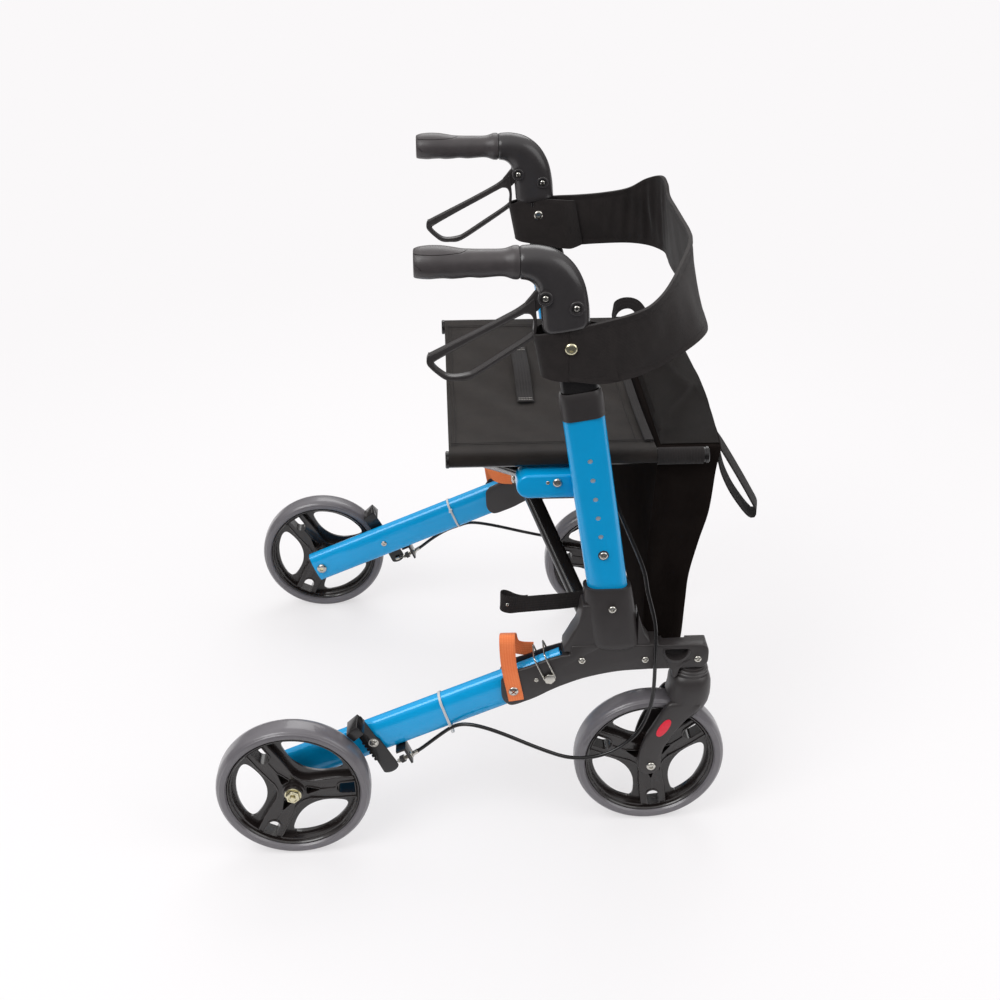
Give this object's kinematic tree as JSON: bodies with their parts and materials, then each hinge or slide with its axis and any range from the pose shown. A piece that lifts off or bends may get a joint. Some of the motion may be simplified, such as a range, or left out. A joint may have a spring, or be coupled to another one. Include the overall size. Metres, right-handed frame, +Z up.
{
  "type": "folding rollator",
  "caption": "Folding rollator walking frame with swivel casters, hand brakes, height-adjustable grips, fabric seat, webbing backrest and front bag.",
  "frame": {"origin": "on the floor under the middle of the bounding box", "axes": "+Z up; +X forward, towards the casters; +Y to the user's left"},
  "size_m": [0.7103, 0.662, 0.8064],
  "materials": {
    "moulded_black": "matte",
    "blue_paint": "glossy metallic paint",
    "zinc": "zinc plated",
    "orange_webbing": "woven",
    "tyre_grey": "matte",
    "rim_black": "satin",
    "black_steel": "satin",
    "black_alloy": "black anodised",
    "handle_black": "satin",
    "grip_rubber": "matte",
    "lever_grey": "satin",
    "cable_black": "satin",
    "seat_cloth": "woven nylon",
    "black_webbing": "woven",
    "bag_cloth": "woven nylon"
  },
  "bodies": {
    "frame_right": {"frame_casting_right": "moulded_black", "upright_tube_right": "blue_paint", "upright_collar_right": "moulded_black", "seat_rail_arm_right": "blue_paint", "cross_pivot_right": "zinc", "leg_pivot_bolt_right": "zinc", "release_strap_right": "orange_webbing", "brake_cable_right": "cable_black", "bag": "bag_cloth", "bag_handle": "black_webbing", "fold_strap": "black_webbing"},
    "frame_left": {"frame_casting_left": "moulded_black", "upright_tube_left": "blue_paint", "upright_collar_left": "moulded_black", "seat_rail_arm_left": "blue_paint", "cross_pivot_left": "zinc", "leg_pivot_bolt_left": "zinc", "release_strap_left": "orange_webbing", "brake_cable_left": "cable_black"},
    "cross_a": {"cross_frame_a": "black_alloy", "centre_pivot_bolt": "zinc", "seat_fabric": "seat_cloth"},
    "cross_b": {"cross_frame_b": "black_alloy"},
    "leg_right": {"leg_tube_right": "blue_paint", "kerb_pedal_right": "moulded_black", "rear_axle_right": "zinc", "cable_stop_right": "zinc"},
    "latch_right": {"latch_bail_right": "zinc"},
    "rear_wheel_right": {"rear_tyre_right": "tyre_grey", "rear_rim_right": "rim_black"},
    "brake_right": {"brake_arm_right": "black_steel"},
    "caster_right": {"caster_fork_right": "moulded_black", "front_axle_right": "zinc"},
    "front_wheel_right": {"front_tyre_right": "tyre_grey", "front_rim_right": "rim_black"},
    "handle_right": {"handle_stem_right": "black_alloy", "handle_body_right": "handle_black", "grip_right": "grip_rubber", "lever_pin_right": "zinc", "height_bolt_right": "zinc", "backrest_band": "black_webbing"},
    "lever_right": {"brake_lever_right": "lever_grey"},
    "leg_left": {"leg_tube_left": "blue_paint", "kerb_pedal_left": "moulded_black", "rear_axle_left": "zinc", "cable_stop_left": "zinc"},
    "latch_left": {"latch_bail_left": "zinc"},
    "rear_wheel_left": {"rear_tyre_left": "tyre_grey", "rear_rim_left": "rim_black"},
    "brake_left": {"brake_arm_left": "black_steel"},
    "caster_left": {"caster_fork_left": "moulded_black", "front_axle_left": "zinc"},
    "front_wheel_left": {"front_tyre_left": "tyre_grey", "front_rim_left": "rim_black"},
    "handle_left": {"handle_stem_left": "black_alloy", "handle_body_left": "handle_black", "grip_left": "grip_rubber", "lever_pin_left": "zinc", "height_bolt_left": "zinc"},
    "lever_left": {"brake_lever_left": "lever_grey"}
  },
  "joints": [
    {"name": "fold", "type": "hinge", "parent": "frame_right", "child": "cross_a", "pos_m": [0.15, -0.222, 0.245], "axis": [1, 0, 0], "range_deg": [0, 45], "deforming": ["seat_fabric", "backrest_band", "bag", "bag_handle"]},
    {"name": "cross_centre", "type": "hinge", "parent": "cross_a", "child": "cross_b", "pos_m": [0.073, 0, 0.386], "axis": [1, 0, 0], "range_deg": [-90, 0]},
    {"name": "left_foot", "type": "hinge", "parent": "cross_b", "child": "frame_left", "pos_m": [0.15, 0.222, 0.245], "axis": [1, 0, 0], "range_deg": [0, 45]},
    {"name": "leg_fold_right", "type": "hinge", "parent": "frame_right", "child": "leg_right", "pos_m": [0.077, -0.258, 0.24], "axis": [0, 1, 0], "range_deg": [0, 80], "deforming": ["release_strap_right", "brake_cable_right"]},
    {"name": "latch_swing_right", "type": "hinge", "parent": "frame_right", "child": "latch_right", "pos_m": [0.077, -0.258, 0.24], "axis": [0, 1, 0], "range_deg": [0, 40]},
    {"name": "rear_wheel_spin_right", "type": "hinge", "parent": "leg_right", "child": "rear_wheel_right", "pos_m": [-0.255, -0.304, 0.1], "axis": [0, 1, 0], "continuous": true},
    {"name": "brake_swing_right", "type": "hinge", "parent": "leg_right", "child": "brake_right", "pos_m": [-0.15151, -0.258, 0.14364], "axis": [0, -1, 0], "range_deg": [0, 3]},
    {"name": "caster_swivel_right", "type": "hinge", "parent": "frame_right", "child": "caster_right", "pos_m": [0.2615, -0.258, 0.2468], "axis": [0, 0, 1], "continuous": true},
    {"name": "front_wheel_spin_right", "type": "hinge", "parent": "caster_right", "child": "front_wheel_right", "pos_m": [0.213, -0.258, 0.1], "axis": [0, 1, 0], "continuous": true},
    {"name": "handle_height_right", "type": "slide", "parent": "frame_right", "child": "handle_right", "axis": [-0.1547, 0, 0.988], "range_m": [0, 0.125]},
    {"name": "lever_squeeze_right", "type": "hinge", "parent": "handle_right", "child": "lever_right", "pos_m": [0.064, -0.258, 0.75], "axis": [0, 1, 0], "range_deg": [0, 15], "stiffness_Nm_per_rad": 0.4, "springref_deg": -14.32},
    {"name": "leg_fold_left", "type": "hinge", "parent": "frame_left", "child": "leg_left", "pos_m": [0.077, 0.258, 0.24], "axis": [0, 1, 0], "range_deg": [0, 80], "deforming": ["release_strap_left", "brake_cable_left"]},
    {"name": "latch_swing_left", "type": "hinge", "parent": "frame_left", "child": "latch_left", "pos_m": [0.077, 0.258, 0.24], "axis": [0, 1, 0], "range_deg": [0, 40]},
    {"name": "rear_wheel_spin_left", "type": "hinge", "parent": "leg_left", "child": "rear_wheel_left", "pos_m": [-0.255, 0.304, 0.1], "axis": [0, 1, 0], "continuous": true},
    {"name": "brake_swing_left", "type": "hinge", "parent": "leg_left", "child": "brake_left", "pos_m": [-0.15151, 0.258, 0.14364], "axis": [0, -1, 0], "range_deg": [0, 3]},
    {"name": "caster_swivel_left", "type": "hinge", "parent": "frame_left", "child": "caster_left", "pos_m": [0.2615, 0.258, 0.2468], "axis": [0, 0, 1], "continuous": true},
    {"name": "front_wheel_spin_left", "type": "hinge", "parent": "caster_left", "child": "front_wheel_left", "pos_m": [0.213, 0.258, 0.1], "axis": [0, 1, 0], "continuous": true},
    {"name": "handle_height_left", "type": "slide", "parent": "frame_left", "child": "handle_left", "axis": [-0.1547, 0, 0.988], "range_m": [0, 0.125]},
    {"name": "lever_squeeze_left", "type": "hinge", "parent": "handle_left", "child": "lever_left", "pos_m": [0.064, 0.258, 0.75], "axis": [0, 1, 0], "range_deg": [0, 15], "stiffness_Nm_per_rad": 0.4, "springref_deg": -14.32}
  ],
  "couplings": [
    {"joint": "cross_centre", "follows": "fold", "ratio": -2},
    {"joint": "left_foot", "follows": "fold", "ratio": 1},
    {"joint": "latch_swing_right", "follows": "leg_fold_right", "ratio": 0.5},
    {"joint": "brake_swing_right", "follows": "lever_squeeze_right", "ratio": 0.2},
    {"joint": "latch_swing_left", "follows": "leg_fold_left", "ratio": 0.5},
    {"joint": "brake_swing_left", "follows": "lever_squeeze_left", "ratio": 0.2}
  ]
}
